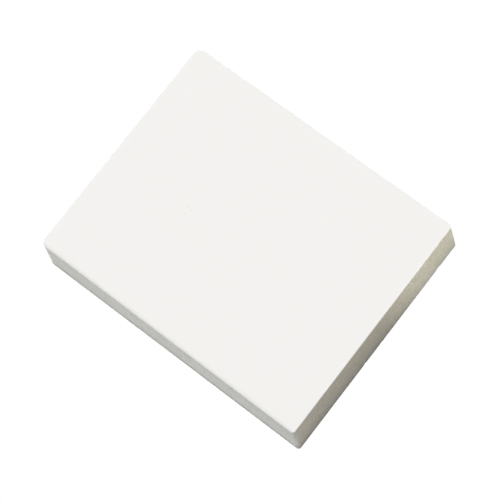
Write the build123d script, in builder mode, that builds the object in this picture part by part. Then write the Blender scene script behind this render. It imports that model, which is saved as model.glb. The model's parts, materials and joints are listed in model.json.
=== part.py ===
"""A gymnast's chalk block: one plain slab of pressed magnesium carbonate.

The block is pressed in a mould in a single stroke, so it is one solid piece. Its sides lean in
a little towards the top, the draft that lets it leave the mould. It lies on its larger face.
The origin is the centre of that face, X runs along the length, Y along the width and Z points up.
"""

import os

from build123d import *

# Driving dimensions, in millimetres and degrees.
base_length = 85.0  # X, at the large face that the block lies on
base_width = 68.8  # Y, at the same face
block_height = 19.0  # Z, from the base to the top face
side_draft = 3.0  # how far each side leans in from upright, going up

# The upright corners' radii. The powder crumbles unevenly, so no two corners are alike.
front_left_radius = 1.6  # at -X, -Y
front_right_radius = 0.9  # at +X, -Y
back_right_radius = 1.0  # at +X, +Y
back_left_radius = 2.2  # at -X, +Y

# The rims' radii: the edges round the top face and round the base.
top_rim_radius = 0.6
base_rim_radius = 0.3

# Each upright corner's side along X, side along Y, and radius.
upright_corners = [
    (-1, -1, front_left_radius),
    (1, -1, front_right_radius),
    (1, 1, back_right_radius),
    (-1, 1, back_left_radius),
]


def mid_corner(side_x, side_y):
    """Return the point of the base rectangle's corner, raised to half the block's height."""
    return (side_x * base_length / 2, side_y * base_width / 2, block_height / 2)


# Chalk block: a drafted rectangle, then its upright corners, then its two rims.
with BuildPart() as chalk_block:
    with BuildSketch(Plane.XY):
        Rectangle(base_length, base_width)
    extrude(amount=block_height, taper=side_draft)

    for side_x, side_y, radius in upright_corners:
        upright_edge = chalk_block.edges().sort_by_distance(mid_corner(side_x, side_y))[0]
        fillet(upright_edge, radius)

    fillet(chalk_block.faces().sort_by(Axis.Z)[-1].edges(), top_rim_radius)
    fillet(chalk_block.faces().sort_by(Axis.Z)[0].edges(), base_rim_radius)

chalk_block.part.label = "chalk_block"

os.makedirs("parts", exist_ok=True)
export_step(chalk_block.part, "parts/chalk_block.step")
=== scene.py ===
"""A gymnast's chalk block: a slab of pressed magnesium carbonate, laid out as a Blender add-on.

One operator presses the block and gives it its dry, powdery finish. The other sets the stage:
floor, soft lights and camera. Everything is in metres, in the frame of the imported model, with
X along the block's length, Y along its width, Z up, and the origin under the middle of its base.
"""

import json
import math
from collections import namedtuple

import bpy
from bpy.props import FloatProperty, FloatVectorProperty, IntProperty, PointerProperty
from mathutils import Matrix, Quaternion, Vector

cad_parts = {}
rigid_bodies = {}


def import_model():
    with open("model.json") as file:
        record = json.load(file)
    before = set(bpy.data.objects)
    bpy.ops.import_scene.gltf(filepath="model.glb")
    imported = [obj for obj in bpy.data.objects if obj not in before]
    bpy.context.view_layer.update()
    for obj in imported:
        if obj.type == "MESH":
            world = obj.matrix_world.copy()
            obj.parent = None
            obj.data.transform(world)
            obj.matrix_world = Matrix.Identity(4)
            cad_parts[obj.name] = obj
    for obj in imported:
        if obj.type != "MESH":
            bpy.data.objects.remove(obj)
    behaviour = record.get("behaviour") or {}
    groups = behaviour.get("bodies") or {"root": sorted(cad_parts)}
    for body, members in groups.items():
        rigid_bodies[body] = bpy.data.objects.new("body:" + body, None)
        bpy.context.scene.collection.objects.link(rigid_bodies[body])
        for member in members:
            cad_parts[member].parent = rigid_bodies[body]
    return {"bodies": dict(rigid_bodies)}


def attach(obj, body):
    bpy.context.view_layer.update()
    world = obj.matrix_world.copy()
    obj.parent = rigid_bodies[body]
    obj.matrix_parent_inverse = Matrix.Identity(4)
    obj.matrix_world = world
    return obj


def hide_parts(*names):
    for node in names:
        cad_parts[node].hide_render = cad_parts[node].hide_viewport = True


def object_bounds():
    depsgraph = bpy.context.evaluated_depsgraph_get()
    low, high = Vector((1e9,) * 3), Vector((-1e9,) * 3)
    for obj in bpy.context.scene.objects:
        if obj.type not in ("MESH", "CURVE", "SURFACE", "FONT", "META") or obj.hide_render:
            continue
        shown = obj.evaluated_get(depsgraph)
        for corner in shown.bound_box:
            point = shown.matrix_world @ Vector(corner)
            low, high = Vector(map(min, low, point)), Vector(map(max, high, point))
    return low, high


bl_info = {
    "name": "Gymnastics Chalk Block",
    "version": (1, 0, 0),
    "blender": (4, 5, 0),
    "location": "3D View > Sidebar > Chalk",
    "description": "Presses a chalk block and sets a plain studio round it",
    "category": "Add Mesh",
}

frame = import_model()
CAD_LOW, CAD_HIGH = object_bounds()
CAD_SIZE = CAD_HIGH - CAD_LOW

MM = 0.001
NODE = "chalk_block"
BODY = next(iter(frame["bodies"]))
RIM_ATTRIBUTE = "rim"
PIT_ATTRIBUTE = "pit"

# A crumb missing from the top face: its middle, half its length and width, its depth and its turn.
Pit = namedtuple("Pit", "x y half_length half_width depth turn")
TOP_PITS = [
    Pit(-14.8 * MM, -3.2 * MM, 0.55 * MM, 0.36 * MM, 0.12 * MM, math.radians(-20)),
    Pit(-16.5 * MM, -2.9 * MM, 0.45 * MM, 0.22 * MM, 0.05 * MM, math.radians(35)),
    Pit(-16.1 * MM, -4.6 * MM, 0.26 * MM, 0.20 * MM, 0.04 * MM, math.radians(80)),
]


# Sizes and colours ---------------------------------------------------------------------------


def length_property(name, description, default):
    """A size in metres that a user can change."""
    return FloatProperty(
        name=name, description=description, default=default, min=0.0, precision=5,
        subtype="DISTANCE", unit="LENGTH",
    )


class ChalkBlockSizes(bpy.types.PropertyGroup):
    """The block's shape. Each of these becomes a named input of the block's geometry nodes."""

    length: length_property("Length", "Length of the base, along X", CAD_SIZE.x)
    width: length_property("Width", "Width of the base, along Y", CAD_SIZE.y)
    height: length_property("Height", "Height from the base to the top face", CAD_SIZE.z)
    draft: FloatProperty(
        name="Side Draft", description="How far each side leans in, going up",
        default=math.radians(3.0), subtype="ANGLE", unit="ROTATION",
    )
    front_left: length_property("Front Left Corner", "Radius of the corner at -X, -Y", 1.6 * MM)
    front_right: length_property("Front Right Corner", "Radius of the corner at +X, -Y", 0.9 * MM)
    back_right: length_property("Back Right Corner", "Radius of the corner at +X, +Y", 1.0 * MM)
    back_left: length_property("Back Left Corner", "Radius of the corner at -X, +Y", 2.2 * MM)
    front_rim: length_property(
        "Front Rim", "Radius of the top rim along -Y, the most rubbed", 1.05 * MM,
    )
    right_rim: length_property("Right Rim", "Radius of the top rim along +X", 0.32 * MM)
    back_rim: length_property("Back Rim", "Radius of the top rim along +Y", 0.6 * MM)
    left_rim: length_property("Left Rim", "Radius of the top rim along -X", 0.7 * MM)
    base_rim: length_property("Base Rim", "Radius of the rim round the base", 0.3 * MM)
    rim_variation: FloatProperty(
        name="Rim Variation", description="How much the rims' radii vary along their length",
        default=0.35, min=0.0, max=0.6, subtype="FACTOR",
    )
    chip_depth: length_property(
        "Chip Depth", "Depth of the deepest chips along the rims", 0.16 * MM,
    )
    crumble_depth: length_property(
        "Crumble Depth", "Depth of the fine crumbling of the rims", 0.035 * MM,
    )
    dip_depth: length_property("Dip Depth", "How far the faces dip over their length", 0.04 * MM)
    side_roughness: length_property(
        "Side Roughness", "Depth of the sides' uneven surface", 0.02 * MM,
    )
    pit_density: FloatProperty(
        name="Pit Density", description="Crumb pits on a square metre of the sides and base",
        default=2600.0, min=0.0,
    )
    steps_x: IntProperty(name="Steps X", description="Mesh steps along X", default=172, min=8)
    steps_y: IntProperty(name="Steps Y", description="Mesh steps along Y", default=144, min=8)
    steps_z: IntProperty(name="Steps Z", description="Mesh steps along Z", default=56, min=8)
    seed: IntProperty(name="Seed", description="Picks another pattern of wear", default=7)


class ChalkFinish(bpy.types.PropertyGroup):
    """The pressed powder's colours and texture."""

    chalk: FloatVectorProperty(
        name="Chalk", description="Colour of the clean pressed powder",
        default=(0.915, 0.910, 0.902), size=3, min=0.0, max=1.0, subtype="COLOR",
    )
    # Dull is also the colour of the painted shade that darkens the sides towards the foot.
    dull: FloatVectorProperty(
        name="Dull", description="Colour of the handled foot of the sides and of denser patches",
        default=(0.740, 0.730, 0.700), size=3, min=0.0, max=1.0, subtype="COLOR",
    )
    dust: FloatVectorProperty(
        name="Dust", description="Colour of loose powder along rubbed rims",
        default=(0.945, 0.942, 0.930), size=3, min=0.0, max=1.0, subtype="COLOR",
    )
    # Broken is creamier than the chalk, as bared powder is, and also a little darker as painted
    # shade inside the pits.
    broken: FloatVectorProperty(
        name="Broken", description="Colour of the powder laid bare where a crumb has gone",
        default=(0.890, 0.880, 0.858), size=3, min=0.0, max=1.0, subtype="COLOR",
    )
    cloud_size: length_property("Cloud Size", "Size of the faint patches of colour", 14 * MM)
    streak_width: length_property("Streak Width", "Width of the drag marks on the sides", 0.7 * MM)
    grain_size: length_property("Grain Size", "Size of the powder's grain", 0.40 * MM)
    grain_depth: length_property("Grain Depth", "Height of the powder's grain", 0.06 * MM)


def light_power(name, description, default):
    """A light's power in watts that a user can change."""
    return FloatProperty(
        name=name, description=description, default=default, min=0.0, subtype="POWER", unit="POWER",
    )


def light_colour(name, default):
    """A light's colour that a user can change."""
    return FloatVectorProperty(
        name=name, description="Colour of this light", default=default, size=3, min=0.0, max=1.0,
        subtype="COLOR",
    )


class ChalkStage(bpy.types.PropertyGroup):
    """The camera and the lights."""

    azimuth: FloatProperty(
        name="Azimuth", description="The camera's direction round the block; 0 looks along +Y",
        default=math.radians(58.377), subtype="ANGLE", unit="ROTATION",
    )
    elevation: FloatProperty(
        name="Elevation", description="The camera's height above the horizon",
        default=math.radians(74.608), subtype="ANGLE", unit="ROTATION",
    )
    roll: FloatProperty(
        name="Roll", description="How far the camera's top leans to its right",
        default=math.radians(21.244), subtype="ANGLE", unit="ROTATION",
    )
    distance: length_property("Distance", "From the camera to the point it looks at", 0.48481)
    lens: FloatProperty(
        name="Lens", description="Focal length in millimetres on a 36 mm sensor", default=133.23,
    )
    aim: FloatVectorProperty(
        name="Aim", description="The point the camera looks at", size=3,
        default=(1.414 * MM, -0.988 * MM, 9.5 * MM), subtype="TRANSLATION",
    )
    room_light: FloatProperty(
        name="Room Light", description="Brightness of the light from all around", default=0.06,
    )
    room_colour: light_colour("Room Colour", (1.0, 0.98, 0.92))
    floor_bounce: FloatVectorProperty(
        name="Floor Bounce", description="The share of the light that the floor throws back",
        default=(0.19, 0.183, 0.150), size=3, min=0.0, max=1.0, subtype="COLOR",
    )
    top_power: light_power("Top Power", "Power of the large soft light overhead", 59.2)
    top_colour: light_colour("Top Colour", (1.000, 0.997, 0.990))
    front_power: light_power("Front Power", "Power of the card on the floor on the -Y side", 0.062)
    front_colour: light_colour("Front Colour", (0.955, 1.000, 0.984))
    side_power: light_power("Side Power", "Power of the card on the floor on the +X side", 0.097)
    side_colour: light_colour("Side Colour", (1.000, 0.847, 0.570))
    back_power: light_power(
        "Back Power", "Power of each card on the floor behind and on the left", 0.04,
    )
    back_colour: light_colour("Back Colour", (1.0, 0.99, 0.96))
    end_power: light_power(
        "End Power", "Power of the low spot on the back half of the +X side", 9.99,
    )
    end_colour: light_colour("End Colour", (1.000, 0.988, 0.785))


# Node wiring ---------------------------------------------------------------------------------


class Wiring:
    """Adds nodes to a tree and joins them, so that a rule reads like a formula."""

    def __init__(self, tree):
        self.tree = tree

    def feed(self, socket, value):
        """Link a socket to an output, or set it to a plain value."""
        if isinstance(value, bpy.types.NodeSocket):
            self.tree.links.new(value, socket)
        else:
            socket.default_value = value

    def node(self, kind, inputs=None, **settings):
        """Add a node, set its properties and feed its named or numbered inputs."""
        made = self.tree.nodes.new(kind)
        for name, value in settings.items():
            setattr(made, name, value)
        for name, value in (inputs or {}).items():
            self.feed(made.inputs[name], value)
        return made

    def math(self, operation, *values):
        """One step of arithmetic on numbers."""
        made = self.node("ShaderNodeMath", dict(enumerate(values)), operation=operation)
        return made.outputs[0]

    def scaled(self, vector, scale):
        """A vector times a number."""
        made = self.node("ShaderNodeVectorMath", {0: vector, "Scale": scale}, operation="SCALE")
        return made.outputs["Vector"]

    def plus(self, first, *others):
        """The sum of all the values."""
        for other in others:
            first = self.math("ADD", first, other)
        return first

    def minus(self, first, *others):
        """The first value less all the others."""
        for other in others:
            first = self.math("SUBTRACT", first, other)
        return first

    def times(self, first, *others):
        """The product of all the values."""
        for other in others:
            first = self.math("MULTIPLY", first, other)
        return first

    def over(self, first, second):
        """The first value divided by the second."""
        return self.math("DIVIDE", first, second)

    def least(self, first, *others):
        """The smallest of the values."""
        for other in others:
            first = self.math("MINIMUM", first, other)
        return first

    def most(self, first, *others):
        """The largest of the values."""
        for other in others:
            first = self.math("MAXIMUM", first, other)
        return first

    def mix(self, factor, low, high):
        """Low where the factor is 0 and high where it is 1."""
        return self.plus(low, self.times(factor, self.minus(high, low)))

    def ramp(self, value, start, end):
        """A smooth rise from 0 at start to 1 at end; end may be the smaller."""
        made = self.node(
            "ShaderNodeMapRange", {"Value": value, "From Min": start, "From Max": end},
            interpolation_type="SMOOTHSTEP",
        )
        return made.outputs["Result"]

    def noise(self, place, size, detail=1.0, roughness=0.5, seed=0.0):
        """Soft noise from 0 to 1 whose lumps are about the given size across."""
        made = self.node(
            "ShaderNodeTexNoise",
            {"Vector": place, "W": seed, "Scale": self.over(1.0, size), "Detail": detail,
             "Roughness": roughness},
            noise_dimensions="4D",
        )
        return made.outputs["Fac"]

    def split(self, vector):
        """The X, Y and Z of a vector."""
        return self.node("ShaderNodeSeparateXYZ", {"Vector": vector}).outputs[:]

    def joined(self, x, y, z):
        """A vector made of three numbers."""
        return self.node("ShaderNodeCombineXYZ", {"X": x, "Y": y, "Z": z}).outputs["Vector"]


def lay_out(tree):
    """Spread a tree's nodes out from left to right, each to the right of what feeds it."""
    column = {}
    for _ in range(len(tree.nodes)):
        before = dict(column)
        for link in tree.links:
            start, end = link.from_node.name, link.to_node.name
            column[end] = max(column.get(end, 0), column.get(start, 0) + 1)
        if column == before:
            break
    filled = {}
    spacing = 190
    for node in tree.nodes:
        x = column.get(node.name, 0)
        node.location = (x * spacing, -filled.get(x, 0) * spacing)
        filled[x] = filled.get(x, 0) + 1


def sizes_of(group_class):
    """The bpy properties of a property group, in the order in which the class names them."""
    return [group_class.bl_rna.properties[name] for name in group_class.__annotations__]


# The block's geometry nodes ------------------------------------------------------------------


def crowded(w, place, crowding):
    """Move evenly spaced steps from -1 to 1 towards both ends, where the rims need them."""
    curve = w.math("SINE", w.times(place, math.pi / 2))
    return w.mix(crowding, place, curve)


def rounded_corner(w, x, y, half_x, half_y, radius):
    """Bend a rectangle's square corners into arcs.

    Gives the new x and y, the outline's outward direction there, and how far inside the
    outline the point lies. The square in each corner is mapped onto a quarter disc.
    """
    core_x, core_y = w.minus(half_x, radius), w.minus(half_y, radius)
    size_x, size_y = w.math("ABSOLUTE", x), w.math("ABSOLUTE", y)
    past_x = w.over(w.most(w.minus(size_x, core_x), 0.0), radius)
    past_y = w.over(w.most(w.minus(size_y, core_y), 0.0), radius)
    disc_x = squeezed(w, past_x, past_y)
    disc_y = squeezed(w, past_y, past_x)
    reach = w.math("SQRT", w.plus(w.times(disc_x, disc_x), w.times(disc_y, disc_y)))
    sign_x, sign_y = w.math("SIGN", x), w.math("SIGN", y)
    new_x = w.times(sign_x, w.plus(w.least(size_x, core_x), w.times(radius, disc_x)))
    new_y = w.times(sign_y, w.plus(w.least(size_y, core_y), w.times(radius, disc_y)))
    safe_reach = w.most(reach, 1e-6)
    out_x = w.over(w.times(sign_x, disc_x), safe_reach)
    out_y = w.over(w.times(sign_y, disc_y), safe_reach)
    return new_x, new_y, out_x, out_y, w.times(radius, w.minus(1.0, reach))


def squeezed(w, value, other):
    """One coordinate of a unit square's point, moved onto the unit disc."""
    return w.times(value, w.math("SQRT", w.minus(1.0, w.times(0.5, other, other))))


def rounded_rim(w, inset, depth, radius):
    """Bend the square rim between a flat face and the sides into an arc.

    Inset is how far a point lies inside the outline and depth how far it lies from the face.
    Gives how far the point moves inwards and how far it moves away from the face.
    """
    across = w.over(w.most(w.minus(radius, inset), 0.0), radius)
    along = w.over(w.most(w.minus(radius, depth), 0.0), radius)
    inwards = w.times(radius, w.minus(across, squeezed(w, across, along)))
    away = w.times(radius, w.minus(along, squeezed(w, along, across)))
    return inwards, away


def edge_distance(w, position, size):
    """How far a point of the surface lies from the block's nearest edge.

    Of its distances to the end planes, the side planes and the flat faces, the smallest is
    about zero, so the middle one is the distance to the nearest edge.
    """
    x, y, z = w.split(position)
    lean = w.times(z, w.math("TANGENT", size["draft"]))
    to_end = w.minus(w.over(size["length"], 2.0), lean, w.math("ABSOLUTE", x))
    to_side = w.minus(w.over(size["width"], 2.0), lean, w.math("ABSOLUTE", y))
    to_face = w.least(z, w.minus(size["height"], z))
    smallest = w.least(to_end, to_side, to_face)
    largest = w.most(to_end, to_side, to_face)
    return w.minus(w.plus(to_end, to_side, to_face), smallest, largest)


def pressed_position(w, unit_place, size):
    """Where each point of a cube from -1 to 1 lies on the pressed block with its rubbed rims."""
    crowding_x, crowding_y, crowding_z = 0.80, 0.78, 0.70
    u, v, t = w.split(unit_place)
    z = w.times(size["height"], w.over(w.plus(crowded(w, t, crowding_z), 1.0), 2.0))
    lean = w.times(z, w.math("TANGENT", size["draft"]))
    half_x = w.minus(w.over(size["length"], 2.0), lean)
    half_y = w.minus(w.over(size["width"], 2.0), lean)
    x = w.times(crowded(w, u, crowding_x), half_x)
    y = w.times(crowded(w, v, crowding_y), half_y)
    right = w.math("GREATER_THAN", x, 0.0)
    back = w.math("GREATER_THAN", y, 0.0)
    radius = w.mix(
        back,
        w.mix(right, size["front_left"], size["front_right"]),
        w.mix(right, size["back_left"], size["back_right"]),
    )
    x, y, out_x, out_y, inset = rounded_corner(w, x, y, half_x, half_y, radius)

    end_rim = w.mix(right, size["left_rim"], size["right_rim"])
    side_rim = w.mix(back, size["front_rim"], size["back_rim"])
    top_rim = w.plus(w.times(out_x, out_x, end_rim), w.times(out_y, out_y, side_rim))
    wander = w.noise(w.joined(x, y, 0.0), 5 * MM, detail=3.0, seed=size["seed"])
    # The noise seldom leaves 0.25 to 0.75, so four times its distance from the middle is used.
    spread = w.times(w.minus(wander, 0.5), 4.0, size["rim_variation"])
    smallest_rim = 0.15 * MM
    top_rim = w.most(w.times(top_rim, w.plus(1.0, spread)), smallest_rim)
    inwards, down = rounded_rim(w, inset, w.minus(size["height"], z), top_rim)
    base_inwards, up = rounded_rim(w, inset, z, size["base_rim"])
    inwards = w.plus(inwards, base_inwards)
    x = w.minus(x, w.times(out_x, inwards))
    y = w.minus(y, w.times(out_y, inwards))
    return w.joined(x, y, w.plus(w.minus(z, down), up))


def worn_depth(w, position, size):
    """How deep the surface has worn in at each point: dips, chips, crumbling and roughness."""
    # A little off the seed that the rims' radii use, so that the wear has its own pattern.
    seed = w.plus(size["seed"], 0.37)
    dips = w.times(size["dip_depth"], w.noise(position, 45 * MM, detail=1.0, seed=seed))
    edge = edge_distance(w, position, size)
    near_edge = w.ramp(edge, 1.6 * MM, 0.0)
    chips = w.ramp(w.noise(position, 2.6 * MM, detail=2.0, seed=seed), 0.60, 0.78)
    chips = w.times(size["chip_depth"], near_edge, chips)
    crumble = w.times(size["crumble_depth"], near_edge, w.noise(position, 0.8 * MM, 2.0, seed=seed))
    facing = w.split(w.node("GeometryNodeInputNormal").outputs["Normal"])[2]
    on_side = w.ramp(w.math("ABSOLUTE", facing), 0.6, 0.1)
    uneven = w.noise(position, 2.2 * MM, detail=2.0, seed=seed)
    rough = w.times(size["side_roughness"], on_side, uneven)
    return w.plus(dips, chips, crumble, rough)


def pit_lump(w, size):
    """What the crumb pits are cut with: a lumpy ball of radius 1, standing half a radius proud."""
    ball = w.node("GeometryNodeMeshIcoSphere", {"Radius": 1.0, "Subdivisions": 4})
    place = w.node("GeometryNodeInputPosition").outputs[0]
    lumps = w.plus(0.72, w.times(0.56, w.noise(place, 0.9, detail=2.0, seed=size["seed"])))
    shaped = w.node(
        "GeometryNodeSetPosition",
        {"Geometry": ball.outputs["Mesh"], "Position": w.scaled(place, lumps)},
    )
    raised = w.node(
        "GeometryNodeTransform",
        {"Geometry": shaped.outputs["Geometry"], "Translation": (0.0, 0.0, 0.5)},
    )
    return raised.outputs["Geometry"]


def top_pit_lumps(w, lump, size):
    """The lumps that cut the few crumb pits of the top face."""
    lumps = []
    for pit in TOP_PITS:
        placed = w.node(
            "GeometryNodeTransform",
            {
                "Geometry": lump,
                "Translation": w.joined(pit.x, pit.y, w.minus(size["height"], size["dip_depth"])),
                "Rotation": (0.0, 0.0, pit.turn),
                "Scale": (pit.half_length, pit.half_width, 2.0 * pit.depth),
            },
        )
        lumps.append(placed.outputs["Geometry"])
    return lumps


def scattered_pit_lumps(w, block, lump, size):
    """Lumps scattered over the sides and the base, at random sizes, a little apart."""
    from_edges, apart = 1.5 * MM, 3 * MM
    smallest, largest = (0.18 * MM, 0.15 * MM, 0.08 * MM), (0.60 * MM, 0.42 * MM, 0.30 * MM)
    normal_z = w.split(w.node("GeometryNodeInputNormal").outputs["Normal"])[2]
    position = w.node("GeometryNodeInputPosition").outputs[0]
    inside = w.math("GREATER_THAN", edge_distance(w, position, size), from_edges)
    allowed = w.times(w.math("LESS_THAN", normal_z, 0.5), inside)
    points = w.node(
        "GeometryNodeDistributePointsOnFaces",
        {"Mesh": block, "Selection": allowed, "Distance Min": apart,
         "Density Max": size["pit_density"], "Seed": size["seed"]},
        distribute_method="POISSON",
    )
    scale = w.node(
        "FunctionNodeRandomValue",
        {0: smallest, 1: largest, "Seed": size["seed"]}, data_type="FLOAT_VECTOR",
    )
    scattered = w.node(
        "GeometryNodeInstanceOnPoints",
        {"Points": points.outputs["Points"], "Instance": lump,
         "Rotation": points.outputs["Rotation"], "Scale": scale.outputs[0]},
    )
    return scattered.outputs["Instances"]


def marked(w, geometry, name, value, domain):
    """Store a number on the mesh under a name, for the material to read."""
    stored = w.node(
        "GeometryNodeStoreNamedAttribute",
        {"Geometry": geometry, "Name": name, "Value": value}, data_type="FLOAT", domain=domain,
    )
    return stored.outputs["Geometry"]


def build_block_tree(pressed_chalk, broken_chalk):
    """Build the tree that presses the block, wears its rims and knocks a few crumbs out of it."""
    tree = bpy.data.node_groups.new("Pressed chalk block", "GeometryNodeTree")
    tree.is_modifier = True
    w = Wiring(tree)
    tree.interface.new_socket("Geometry", in_out="OUTPUT", socket_type="NodeSocketGeometry")
    for prop in sizes_of(ChalkBlockSizes):
        kind = "NodeSocketInt" if prop.type == "INT" else "NodeSocketFloat"
        socket = tree.interface.new_socket(prop.name, in_out="INPUT", socket_type=kind)
        socket.default_value = prop.default
        if prop.subtype in ("DISTANCE", "ANGLE", "FACTOR"):
            socket.subtype = prop.subtype
    given = w.node("NodeGroupInput")
    size = {prop.identifier: given.outputs[prop.name] for prop in sizes_of(ChalkBlockSizes)}

    cube = w.node(
        "GeometryNodeMeshCube",
        {"Size": (2.0, 2.0, 2.0), "Vertices X": size["steps_x"], "Vertices Y": size["steps_y"],
         "Vertices Z": size["steps_z"]},
    )
    place = w.node("GeometryNodeInputPosition").outputs[0]
    pressed = w.node(
        "GeometryNodeSetPosition",
        {"Geometry": cube.outputs["Mesh"], "Position": pressed_position(w, place, size)},
    )
    place = w.node("GeometryNodeInputPosition").outputs[0]
    normal = w.node("GeometryNodeInputNormal").outputs["Normal"]
    depth = worn_depth(w, place, size)
    worn = w.node(
        "GeometryNodeSetPosition",
        {"Geometry": pressed.outputs["Geometry"],
         "Offset": w.scaled(normal, w.times(depth, -1.0))},
    )
    block = marked(w, worn.outputs["Geometry"], PIT_ATTRIBUTE, 0.0, "FACE")

    lump = marked(w, pit_lump(w, size), PIT_ATTRIBUTE, 1.0, "FACE")
    cutters = w.node("GeometryNodeJoinGeometry")
    for cutter in [*top_pit_lumps(w, lump, size), scattered_pit_lumps(w, block, lump, size)]:
        w.feed(cutters.inputs[0], cutter)
    solid_cutters = w.node("GeometryNodeRealizeInstances", {"Geometry": cutters.outputs[0]})
    pitted = w.node(
        "GeometryNodeMeshBoolean", {"Mesh 1": block, "Mesh 2": solid_cutters.outputs["Geometry"]},
        operation="DIFFERENCE", solver="MANIFOLD",
    )

    place = w.node("GeometryNodeInputPosition").outputs[0]
    rim = w.ramp(edge_distance(w, place, size), 2.2 * MM, 0.2 * MM)
    finished = marked(w, pitted.outputs["Mesh"], RIM_ATTRIBUTE, rim, "POINT")
    smooth = w.node("GeometryNodeSetShadeSmooth", {"Geometry": finished, "Shade Smooth": True})
    crease = math.radians(40)
    angle = w.node("GeometryNodeInputMeshEdgeAngle").outputs["Unsigned Angle"]
    creased = w.node(
        "GeometryNodeSetShadeSmooth",
        {"Geometry": smooth.outputs["Geometry"], "Shade Smooth": False,
         "Selection": w.math("GREATER_THAN", angle, crease)},
        domain="EDGE",
    )
    realized = w.node("GeometryNodeRealizeInstances", {"Geometry": creased.outputs["Geometry"]})
    skinned = w.node(
        "GeometryNodeSetMaterial",
        {"Geometry": realized.outputs["Geometry"], "Material": pressed_chalk},
    )
    in_pit = w.node(
        "GeometryNodeInputNamedAttribute", {"Name": PIT_ATTRIBUTE}, data_type="FLOAT",
    ).outputs["Attribute"]
    finished = w.node(
        "GeometryNodeSetMaterial",
        {"Geometry": skinned.outputs["Geometry"], "Material": broken_chalk,
         "Selection": w.math("GREATER_THAN", in_pit, 0.5)},
    )
    w.node("NodeGroupOutput", {"Geometry": finished.outputs["Geometry"]})
    lay_out(tree)
    return tree


def plain_mesh(name, tree, group):
    """Run a tree with the sizes of a property group and return its result as a plain mesh."""
    holder = bpy.data.objects.new(name, bpy.data.meshes.new(name))
    bpy.context.scene.collection.objects.link(holder)
    modifier = holder.modifiers.new("Shape", "NODES")
    modifier.node_group = tree
    sockets = tree.interface.items_tree
    inputs = {socket.name: socket.identifier for socket in sockets if socket.in_out == "INPUT"}
    for prop in sizes_of(type(group)):
        modifier[inputs[prop.name]] = getattr(group, prop.identifier)
    evaluated = holder.evaluated_get(bpy.context.evaluated_depsgraph_get())
    mesh = bpy.data.meshes.new_from_object(evaluated)
    bpy.data.objects.remove(holder)
    mesh.name = name
    return mesh


# The pressed chalk's finish ------------------------------------------------------------------


def new_shader_group(name, inputs, outputs):
    """Start a shader node group with named inputs and outputs; gives its wiring and input node."""
    tree = bpy.data.node_groups.new(name, "ShaderNodeTree")
    for label, kind, default in inputs:
        socket = tree.interface.new_socket(label, in_out="INPUT", socket_type=kind)
        if default is not None:
            socket.default_value = default
    for label, kind in outputs:
        tree.interface.new_socket(label, in_out="OUTPUT", socket_type=kind)
    w = Wiring(tree)
    return w, w.node("NodeGroupInput").outputs


def powder_grain_group():
    """The grain of pressed powder: lumps and pinholes, painted shade in their hollows, and a finer
    uneven tone.
    """
    w, given = new_shader_group(
        "Powder grain",
        [("Place", "NodeSocketVector", None), ("Grain Size", "NodeSocketFloat", 0.4 * MM),
         ("Pinholes", "NodeSocketFloat", 0.5)],
        [(label, "NodeSocketFloat") for label in ("Height", "Hollow_Shade", "Mottle")],
    )
    lumps = w.noise(given["Place"], given["Grain Size"], detail=4.0, roughness=0.7, seed=2.3)
    swells = w.noise(given["Place"], w.times(given["Grain Size"], 5.0), detail=2.0, seed=8.2)
    cells = w.node(
        "ShaderNodeTexVoronoi",
        {"Vector": given["Place"], "Scale": w.over(1.0, w.times(given["Grain Size"], 6.0))},
    )
    hole = w.times(given["Pinholes"], w.ramp(cells.outputs["Distance"], 0.15, 0.04))
    height = w.minus(w.plus(w.times(0.65, lumps), w.times(0.35, swells)), hole)
    # Painted shade, darkest in the pinholes and in the hollows between the lumps.
    hollows = w.ramp(lumps, 0.66, 0.34)
    mottles = w.noise(
        given["Place"], w.times(given["Grain Size"], 1.7), detail=5.0, roughness=0.85, seed=3.6,
    )
    w.node(
        "NodeGroupOutput",
        {"Height": height, "Hollow_Shade": w.most(hollows, hole), "Mottle": w.ramp(mottles, 0.22, 0.78)},
    )
    lay_out(w.tree)
    return w.tree


def powder_clouds_group():
    """Faint, wide patches where the powder was pressed a little denser."""
    w, given = new_shader_group(
        "Powder clouds",
        [("Place", "NodeSocketVector", None), ("Cloud Size", "NodeSocketFloat", 14 * MM)],
        [("Mask", "NodeSocketFloat")],
    )
    clouds = w.noise(given["Place"], given["Cloud Size"], detail=2.0, seed=1.7)
    patches = w.noise(given["Place"], w.over(given["Cloud Size"], 6.0), detail=2.0, seed=4.1)
    w.node(
        "NodeGroupOutput",
        {"Mask": w.plus(w.times(0.6, w.ramp(clouds, 0.35, 0.70)),
                        w.times(0.4, w.ramp(patches, 0.35, 0.70)))},
    )
    lay_out(w.tree)
    return w.tree


def drag_marks_group():
    """Faint upright marks that the mould's walls left as the block was pushed out."""
    w, given = new_shader_group(
        "Drag marks",
        [("Place", "NodeSocketVector", None), ("Width", "NodeSocketFloat", 0.7 * MM)],
        [("Mask", "NodeSocketFloat")],
    )
    x, y, z = w.split(given["Place"])
    drawn = w.joined(x, y, w.times(0.07, z))
    marks = w.noise(drawn, given["Width"], detail=2.0, seed=6.4)
    broken_up = w.noise(given["Place"], 6 * MM, detail=2.0, seed=7.7)
    mask = w.times(w.ramp(marks, 0.50, 0.72), w.ramp(broken_up, 0.40, 0.60))
    w.node("NodeGroupOutput", {"Mask": mask})
    lay_out(w.tree)
    return w.tree


def rim_dust_group():
    """Loose powder that lies brighter along the rubbed rims, broken up into patches."""
    w, given = new_shader_group(
        "Rim dust",
        [("Place", "NodeSocketVector", None), ("Rim", "NodeSocketFloat", 0.0),
         ("Patch Size", "NodeSocketFloat", 3 * MM)],
        [("Mask", "NodeSocketFloat")],
    )
    patches = w.noise(given["Place"], given["Patch Size"], detail=3.0, roughness=0.6, seed=5.9)
    w.node("NodeGroupOutput", {"Mask": w.times(given["Rim"], w.ramp(patches, 0.35, 0.65))})
    lay_out(w.tree)
    return w.tree


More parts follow.
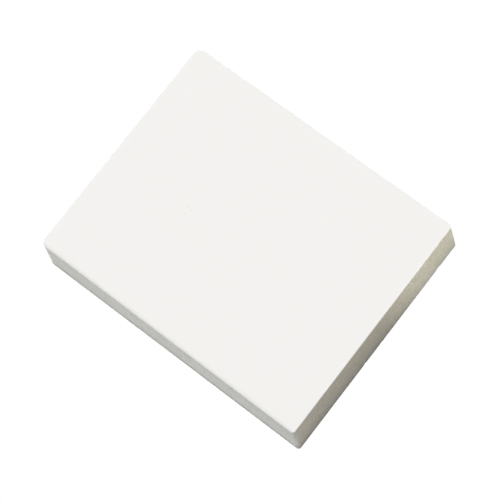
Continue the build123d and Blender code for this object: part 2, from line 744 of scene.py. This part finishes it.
def blended(w, factor, first, second):
    """Mix two colours."""
    made = w.node("ShaderNodeMix", {"Factor": factor}, data_type="RGBA")
    for socket, colour in zip([s for s in made.inputs if s.type == "RGBA"], (first, second)):
        w.feed(socket, colour)
    return next(s for s in made.outputs if s.type == "RGBA")


def placed_group(w, tree, **inputs):
    """Place a shader group with its own values; underscores in the names stand for spaces."""
    return w.node(
        "ShaderNodeGroup", {name.replace("_", " "): value for name, value in inputs.items()},
        node_tree=tree,
    ).outputs


def start_chalk_material(name):
    """Start a dry matte material; gives it, its wiring, its shader and the place on the block."""
    material = bpy.data.materials.new(name)
    material.use_nodes = True
    w = Wiring(material.node_tree)
    shader = material.node_tree.nodes["Principled BSDF"]
    shader.inputs["Diffuse Roughness"].default_value = 0.45
    shader.inputs["Specular IOR Level"].default_value = 0.15
    return material, w, shader, w.node("ShaderNodeTexCoord").outputs["Object"]


def make_pressed_chalk(finish, grain_tree):
    """The block's skin, as the mould left it: smooth on top and coarser down the sides, which carry
    painted shade that darkens them the lower they are.
    """
    material, w, shader, place = start_chalk_material("pressed chalk")
    rim = w.node("ShaderNodeAttribute", attribute_name=RIM_ATTRIBUTE).outputs["Fac"]
    facing = w.split(w.node("ShaderNodeNewGeometry").outputs["True Normal"])[2]
    on_side = w.ramp(w.math("ABSOLUTE", facing), 0.8, 0.2)

    grain = placed_group(
        w, grain_tree, Place=place, Grain_Size=finish.grain_size,
        Pinholes=w.mix(on_side, 0.10, 0.50),
    )
    clouds = placed_group(w, powder_clouds_group(), Place=place, Cloud_Size=finish.cloud_size)
    marks = placed_group(w, drag_marks_group(), Place=place, Width=finish.streak_width)
    dust = placed_group(w, rim_dust_group(), Place=place, Rim=rim)

    # Painted shade darkens the sides, more the lower they are and most of all at the foot. The
    # sides are also uneven all over, with painted shade in the grain's hollows among the uneven
    # tone. The uneven parts come to about their level on average, and that is taken off again.
    uneven_level, dust_strength = 1.60, 0.08
    height = w.split(place)[2]
    downwards = w.minus(1.0, w.over(height, CAD_SIZE.z))
    foot = w.ramp(height, 2.6 * MM, 0.4 * MM)
    # The painted shade on the sides: some over all of each side, more the lower it is, and most in
    # a band at the foot.
    shaded = w.plus(0.18, w.times(0.34, downwards), w.times(0.36, foot))
    uneven = w.plus(
        w.times(0.45, grain["Hollow_Shade"]), w.times(2.70, grain["Mottle"]), w.times(0.35, marks["Mask"]),
        w.times(0.30, clouds["Mask"]),
    )
    side_dullness_and_shade = w.plus(shaded, w.minus(uneven, uneven_level))
    # The flats get faint clouds and a little of the painted shade in the grain's hollows.
    flat_dullness_and_shade = w.plus(w.times(0.03, clouds["Mask"]), w.times(0.04, grain["Hollow_Shade"]))
    dullness_and_shade = w.most(w.mix(on_side, flat_dullness_and_shade, side_dullness_and_shade), 0.0)

    chalk, dull, powder = ((*colour, 1.0) for colour in (finish.chalk, finish.dull, finish.dust))
    colour = blended(w, dullness_and_shade, chalk, dull)
    colour = blended(w, w.times(dust_strength, dust["Mask"]), colour, powder)
    w.feed(shader.inputs["Base Color"], colour)
    w.feed(shader.inputs["Roughness"], w.mix(grain["Height"], 0.86, 1.0))
    relief = w.minus(grain["Height"], w.times(0.3, marks["Mask"]))
    relief = w.times(relief, w.mix(on_side, 0.30, 1.0))
    bump = w.node(
        "ShaderNodeBump", {"Strength": 1.0, "Distance": finish.grain_depth, "Height": relief},
    )
    w.feed(shader.inputs["Normal"], bump.outputs["Normal"])
    lay_out(material.node_tree)
    return material


def make_broken_chalk(finish, grain_tree):
    """The inside of the block where a crumb has gone: loose, coarse and a little creamier, and a
    little darker as painted shade in the pit, with painted shade in its grain's hollows too.
    """
    material, w, shader, place = start_chalk_material("broken chalk")
    grain = placed_group(
        w, grain_tree, Place=place, Grain_Size=0.5 * finish.grain_size, Pinholes=0.8,
    )
    broken, dull = ((*colour, 1.0) for colour in (finish.broken, finish.dull))
    w.feed(shader.inputs["Base Color"], blended(w, w.times(0.25, grain["Hollow_Shade"]), broken, dull))
    w.feed(shader.inputs["Roughness"], w.mix(grain["Height"], 0.92, 1.0))
    bump = w.node(
        "ShaderNodeBump",
        {"Strength": 1.0, "Distance": 1.5 * finish.grain_depth, "Height": grain["Height"]},
    )
    w.feed(shader.inputs["Normal"], bump.outputs["Normal"])
    lay_out(material.node_tree)
    return material


# The stage -----------------------------------------------------------------------------------


def make_floor_material(stage):
    """A plain white floor: pure white to the eye, and a soft grey to the light that it returns."""
    material = bpy.data.materials.new("white floor")
    material.use_nodes = True
    nodes = material.node_tree.nodes
    nodes.clear()
    w = Wiring(material.node_tree)
    white = w.node("ShaderNodeEmission", {"Color": (1.0, 1.0, 1.0, 1.0), "Strength": 1.0})
    paper = w.node("ShaderNodeBsdfDiffuse", {"Color": (*stage.floor_bounce, 1.0)})
    seen = w.node("ShaderNodeLightPath").outputs["Is Camera Ray"]
    both = w.node(
        "ShaderNodeMixShader", {0: seen, 1: paper.outputs["BSDF"], 2: white.outputs["Emission"]},
    )
    w.node("ShaderNodeOutputMaterial", {"Surface": both.outputs["Shader"]})
    lay_out(material.node_tree)
    return material


def make_floor(stage):
    """A wide flat floor that the block lies on."""
    half = 2.0
    mesh = bpy.data.meshes.new("floor")
    corners = [(-half, -half, 0.0), (half, -half, 0.0), (half, half, 0.0), (-half, half, 0.0)]
    mesh.from_pydata(corners, [], [(0, 1, 2, 3)])
    mesh.materials.append(make_floor_material(stage))
    floor = bpy.data.objects.new("floor", mesh)
    bpy.context.scene.collection.objects.link(floor)
    return floor


def make_room(stage):
    """Even light from all around, which looks white where the camera sees past the floor."""
    world = bpy.data.worlds.new("soft white room")
    world.use_nodes = True
    world.node_tree.nodes.clear()
    w = Wiring(world.node_tree)
    seen = w.node("ShaderNodeLightPath").outputs["Is Camera Ray"]
    soft = w.node(
        "ShaderNodeBackground", {"Color": (*stage.room_colour, 1.0), "Strength": stage.room_light},
    )
    white = w.node("ShaderNodeBackground", {"Color": (1.0, 1.0, 1.0, 1.0), "Strength": 1.0})
    both = w.node(
        "ShaderNodeMixShader",
        {0: seen, 1: soft.outputs["Background"], 2: white.outputs["Background"]},
    )
    w.node("ShaderNodeOutputWorld", {"Surface": both.outputs["Shader"]})
    lay_out(world.node_tree)
    bpy.context.scene.world = world


def place_light(name, kind, place, target, power, colour):
    """A light at a place, turned to face a target."""
    light = bpy.data.lights.new(name, kind)
    light.energy = power
    light.color = colour
    lamp = bpy.data.objects.new(name, light)
    lamp.location = place
    lamp.rotation_euler = (Vector(target) - Vector(place)).to_track_quat("-Z", "Y").to_euler()
    bpy.context.scene.collection.objects.link(lamp)
    return light


def place_card(name, low_corner, high_corner, power, colour):
    """A glowing card that lies on the floor and shines upwards, like a sheet that returns light."""
    (low_x, low_y), (high_x, high_y) = low_corner, high_corner
    off_floor = 0.3 * MM
    middle = Vector(((low_x + high_x) / 2, (low_y + high_y) / 2, off_floor))
    card = place_light(name, "AREA", middle, middle + Vector((0.0, 0.0, 1.0)), power, colour)
    card.shape = "RECTANGLE"
    card.size, card.size_y = high_x - low_x, high_y - low_y
    # Turned over about X, it faces up and keeps its size and size_y along X and Y.
    bpy.data.objects[name].rotation_euler = (math.pi, 0.0, 0.0)
    bpy.data.objects[name].visible_camera = False


def make_lights(stage):
    """A large soft light overhead, a card beside each side, and a low spot on the right."""
    overhead, origin = (-0.05, 0.05, 2.5), (0.0, 0.0, 0.0)
    top = place_light(
        "top light", "AREA", overhead, origin, stage.top_power, stage.top_colour,
    )
    top.size = 1.0
    # The front card starts close to the block, so it lights that side down to the foot. The side
    # card starts further out, so it lights the upper part of its side more than the foot. Both
    # reach past the corner that they share, so neither side fades there.
    reach, narrow = 200 * MM, 60 * MM
    near, far, past_corner = 3 * MM, 12 * MM, 20 * MM
    place_card(
        "front card", (-reach, CAD_LOW.y - narrow), (CAD_HIGH.x + past_corner, CAD_LOW.y - near),
        stage.front_power, stage.front_colour,
    )
    place_card(
        "side card", (CAD_HIGH.x + far, CAD_LOW.y - far), (CAD_HIGH.x + reach, reach),
        stage.side_power, stage.side_colour,
    )
    # The other two stop level with the front and right sides, so they don't light either.
    place_card(
        "back card", (-reach, CAD_HIGH.y + near), (CAD_HIGH.x, CAD_HIGH.y + narrow),
        stage.back_power, stage.back_colour,
    )
    place_card(
        "left card", (CAD_LOW.x - narrow, CAD_LOW.y), (CAD_LOW.x - near, reach),
        stage.back_power, stage.back_colour,
    )

    # The spot's beam is aimed past the block's end, so that only its soft edge crosses the side.
    spot_away, spot_y, spot_height, beam_radius = 1.0, 0.105, 0.016, 0.100
    end = place_light(
        "end light", "SPOT", (spot_away, spot_y, spot_height), (0.0, spot_y, spot_height),
        stage.end_power, stage.end_colour,
    )
    end.spot_size = 2.0 * math.atan2(beam_radius, spot_away)
    end.spot_blend = 0.06
    end.shadow_soft_size = 0.01


def make_camera(stage):
    """Put the camera at its distance from the aim, at its azimuth, elevation and roll."""
    flat = math.cos(stage.elevation)
    back = Vector((
        math.sin(stage.azimuth) * flat,
        -math.cos(stage.azimuth) * flat,
        math.sin(stage.elevation),
    ))
    lens = bpy.data.cameras.new("camera")
    lens.lens = stage.lens
    lens.sensor_width = 36.0
    lens.clip_start = 10 * MM
    camera = bpy.data.objects.new("camera", lens)
    camera.rotation_mode = "QUATERNION"
    camera.location = Vector(stage.aim) + back * stage.distance
    lean = Quaternion((0.0, 0.0, 1.0), -stage.roll)
    camera.rotation_quaternion = (-back).to_track_quat("-Z", "Y") @ lean
    bpy.context.scene.collection.objects.link(camera)
    bpy.context.scene.camera = camera
    return camera


# Operators, panel and registration -----------------------------------------------------------


class CHALK_OT_press_block(bpy.types.Operator):
    """Press the chalk block, with its worn rims, crumb pits and powdery finish"""

    bl_idname = "chalk.press_block"
    bl_label = "Press Chalk Block"
    bl_options = {"REGISTER", "UNDO"}

    def execute(self, context):
        scene = context.scene
        grain_tree = powder_grain_group()
        pressed_chalk = make_pressed_chalk(scene.chalk_finish, grain_tree)
        broken_chalk = make_broken_chalk(scene.chalk_finish, grain_tree)
        tree = build_block_tree(pressed_chalk, broken_chalk)
        mesh = plain_mesh("pressed_block", tree, scene.chalk_sizes)
        if not mesh.polygons:
            raise RuntimeError("the block's geometry nodes gave no faces")
        block = bpy.data.objects.new("pressed_block", mesh)
        scene.collection.objects.link(block)
        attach(block, BODY)
        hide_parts(NODE)
        return {"FINISHED"}


class CHALK_OT_set_stage(bpy.types.Operator):
    """Set the plain white floor, the soft lights and the camera"""

    bl_idname = "chalk.set_stage"
    bl_label = "Set Stage"
    bl_options = {"REGISTER", "UNDO"}

    def execute(self, context):
        stage = context.scene.chalk_stage
        make_floor(stage)
        make_room(stage)
        make_lights(stage)
        make_camera(stage)
        context.scene.view_settings.view_transform = "Standard"
        return {"FINISHED"}


class CHALK_PT_panel(bpy.types.Panel):
    """Lists the block's sizes, its finish, the stage and the operators that make them"""

    bl_label = "Chalk Block"
    bl_idname = "CHALK_PT_panel"
    bl_space_type = "VIEW_3D"
    bl_region_type = "UI"
    bl_category = "Chalk"

    def draw(self, context):
        scene = context.scene
        for operator, group in (
            (CHALK_OT_press_block, scene.chalk_sizes),
            (None, scene.chalk_finish),
            (CHALK_OT_set_stage, scene.chalk_stage),
        ):
            column = self.layout.column()
            for prop in sizes_of(type(group)):
                column.prop(group, prop.identifier)
            if operator:
                column.operator(operator.bl_idname)


CLASSES = (
    ChalkBlockSizes,
    ChalkFinish,
    ChalkStage,
    CHALK_OT_press_block,
    CHALK_OT_set_stage,
    CHALK_PT_panel,
)


def register():
    """Register the classes and hang the property groups on the scene."""
    for cls in CLASSES:
        bpy.utils.register_class(cls)
    bpy.types.Scene.chalk_sizes = PointerProperty(type=ChalkBlockSizes)
    bpy.types.Scene.chalk_finish = PointerProperty(type=ChalkFinish)
    bpy.types.Scene.chalk_stage = PointerProperty(type=ChalkStage)


def unregister():
    """Undo what register did."""
    del bpy.types.Scene.chalk_stage
    del bpy.types.Scene.chalk_finish
    del bpy.types.Scene.chalk_sizes
    for cls in reversed(CLASSES):
        bpy.utils.unregister_class(cls)


def main():
    register()
    bpy.ops.chalk.press_block()
    bpy.ops.chalk.set_stage()


if __name__ == "__main__":
    main()
